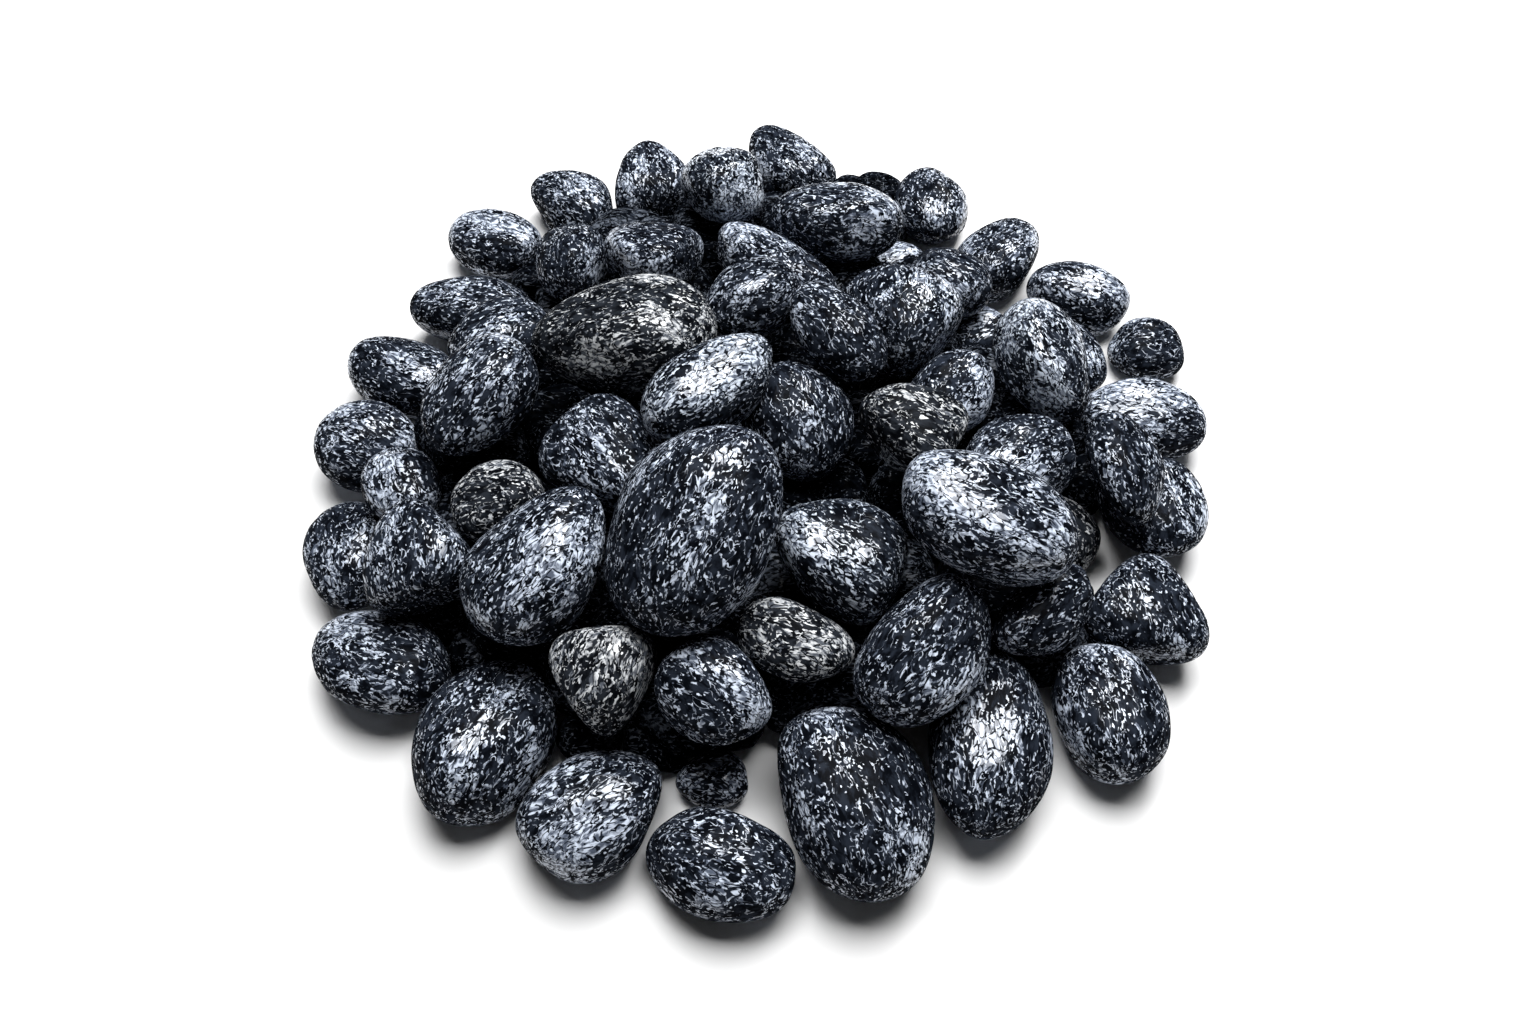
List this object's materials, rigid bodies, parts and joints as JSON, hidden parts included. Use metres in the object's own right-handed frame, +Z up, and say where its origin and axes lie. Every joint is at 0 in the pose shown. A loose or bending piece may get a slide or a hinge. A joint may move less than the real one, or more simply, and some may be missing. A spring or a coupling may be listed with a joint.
{
  "type": "basalt massage stone",
  "caption": "Heap of loose polished basalt massage stones: plump mottled grey-black pebbles of mixed sizes, a flat rim on the floor and two courses nestled on top.",
  "frame": {"origin": "middle of the heap's box on the floor that the rim stones stand on", "axes": "+Z up from the floor, +X to the right and +Y to the back, seen from the heap's front, where the largest rim stones lie"},
  "size_m": [0.3946, 0.4126, 0.0932],
  "materials": {
    "basalt_dark": "polished blue-black basalt with light blotches",
    "basalt_pale": "polished blue-grey basalt, closely covered with light blotches",
    "basalt_warm": "polished warm grey basalt with light blotches"
  },
  "bodies": {
    "heap": {"bed_stones": "basalt_dark", "crown_stone_01": "basalt_dark", "crown_stone_04": "basalt_pale", "crown_stone_05": "basalt_dark", "crown_stone_06": "basalt_dark", "crown_stone_09": "basalt_dark", "gap_stone_01": "basalt_dark", "gap_stone_02": "basalt_dark", "gap_stone_03": "basalt_dark", "gap_stone_04": "basalt_dark", "gap_stone_05": "basalt_warm", "rim_stone_01": "basalt_dark", "rim_stone_02": "basalt_dark", "rim_stone_03": "basalt_dark", "rim_stone_04": "basalt_dark", "rim_stone_05": "basalt_dark", "rim_stone_06": "basalt_dark", "rim_stone_07": "basalt_dark", "rim_stone_08": "basalt_dark", "rim_stone_09": "basalt_dark", "rim_stone_10": "basalt_dark", "rim_stone_11": "basalt_dark", "rim_stone_12": "basalt_dark", "rim_stone_13": "basalt_dark", "rim_stone_14": "basalt_dark", "rim_stone_15": "basalt_dark", "rim_stone_16": "basalt_dark", "rim_stone_17": "basalt_dark", "rim_stone_18": "basalt_dark", "rim_stone_19": "basalt_dark", "rim_stone_20": "basalt_dark", "rim_stone_21": "basalt_dark", "rim_stone_22": "basalt_dark", "shoulder_stone_01": "basalt_dark", "shoulder_stone_05": "basalt_dark", "shoulder_stone_09": "basalt_dark", "shoulder_stone_10": "basalt_dark", "shoulder_stone_11": "basalt_warm", "shoulder_stone_12": "basalt_dark", "shoulder_stone_13": "basalt_dark", "shoulder_stone_15": "basalt_warm", "shoulder_stone_16": "basalt_dark"},
    "crown_02": {"crown_stone_02": "basalt_warm"},
    "crown_03": {"crown_stone_03": "basalt_dark"},
    "crown_07": {"crown_stone_07": "basalt_dark"},
    "crown_08": {"crown_stone_08": "basalt_dark"},
    "crown_10": {"crown_stone_10": "basalt_warm"},
    "crown_11": {"crown_stone_11": "basalt_pale"},
    "crown_12": {"crown_stone_12": "basalt_dark"},
    "shoulder_02": {"shoulder_stone_02": "basalt_dark"},
    "shoulder_03": {"shoulder_stone_03": "basalt_dark"},
    "shoulder_04": {"shoulder_stone_04": "basalt_warm"},
    "shoulder_06": {"shoulder_stone_06": "basalt_dark"},
    "shoulder_07": {"shoulder_stone_07": "basalt_pale"},
    "shoulder_08": {"shoulder_stone_08": "basalt_dark"},
    "shoulder_14": {"shoulder_stone_14": "basalt_dark"},
    "shoulder_17": {"shoulder_stone_17": "basalt_dark"},
    "shoulder_18": {"shoulder_stone_18": "basalt_dark"},
    "shoulder_19": {"shoulder_stone_19": "basalt_dark"},
    "shoulder_20": {"shoulder_stone_20": "basalt_pale"}
  },
  "joints": [
    {"name": "lift_crown_02", "type": "slide", "parent": "heap", "child": "crown_02", "axis": [0, 0, 1], "range_m": [0, 0.15]},
    {"name": "lift_crown_03", "type": "slide", "parent": "heap", "child": "crown_03", "axis": [0, 0, 1], "range_m": [0, 0.15]},
    {"name": "lift_crown_07", "type": "slide", "parent": "heap", "child": "crown_07", "axis": [0, 0, 1], "range_m": [0, 0.15]},
    {"name": "lift_crown_08", "type": "slide", "parent": "heap", "child": "crown_08", "axis": [0, 0, 1], "range_m": [0, 0.15]},
    {"name": "lift_crown_10", "type": "slide", "parent": "heap", "child": "crown_10", "axis": [0, 0, 1], "range_m": [0, 0.15]},
    {"name": "lift_crown_11", "type": "slide", "parent": "heap", "child": "crown_11", "axis": [0, 0, 1], "range_m": [0, 0.15]},
    {"name": "lift_crown_12", "type": "slide", "parent": "heap", "child": "crown_12", "axis": [0, 0, 1], "range_m": [0, 0.15]},
    {"name": "lift_shoulder_02", "type": "slide", "parent": "heap", "child": "shoulder_02", "axis": [0, 0, 1], "range_m": [0, 0.15]},
    {"name": "lift_shoulder_03", "type": "slide", "parent": "heap", "child": "shoulder_03", "axis": [0, 0, 1], "range_m": [0, 0.15]},
    {"name": "lift_shoulder_04", "type": "slide", "parent": "heap", "child": "shoulder_04", "axis": [0, 0, 1], "range_m": [0, 0.15]},
    {"name": "lift_shoulder_06", "type": "slide", "parent": "heap", "child": "shoulder_06", "axis": [0, 0, 1], "range_m": [0, 0.15]},
    {"name": "lift_shoulder_07", "type": "slide", "parent": "heap", "child": "shoulder_07", "axis": [0, 0, 1], "range_m": [0, 0.15]},
    {"name": "lift_shoulder_08", "type": "slide", "parent": "heap", "child": "shoulder_08", "axis": [0, 0, 1], "range_m": [0, 0.15]},
    {"name": "lift_shoulder_14", "type": "slide", "parent": "heap", "child": "shoulder_14", "axis": [0, 0, 1], "range_m": [0, 0.15]},
    {"name": "lift_shoulder_17", "type": "slide", "parent": "heap", "child": "shoulder_17", "axis": [0, 0, 1], "range_m": [0, 0.15]},
    {"name": "lift_shoulder_18", "type": "slide", "parent": "heap", "child": "shoulder_18", "axis": [0, 0, 1], "range_m": [0, 0.15]},
    {"name": "lift_shoulder_19", "type": "slide", "parent": "heap", "child": "shoulder_19", "axis": [0, 0, 1], "range_m": [0, 0.15]},
    {"name": "lift_shoulder_20", "type": "slide", "parent": "heap", "child": "shoulder_20", "axis": [0, 0, 1], "range_m": [0, 0.15]}
  ]
}
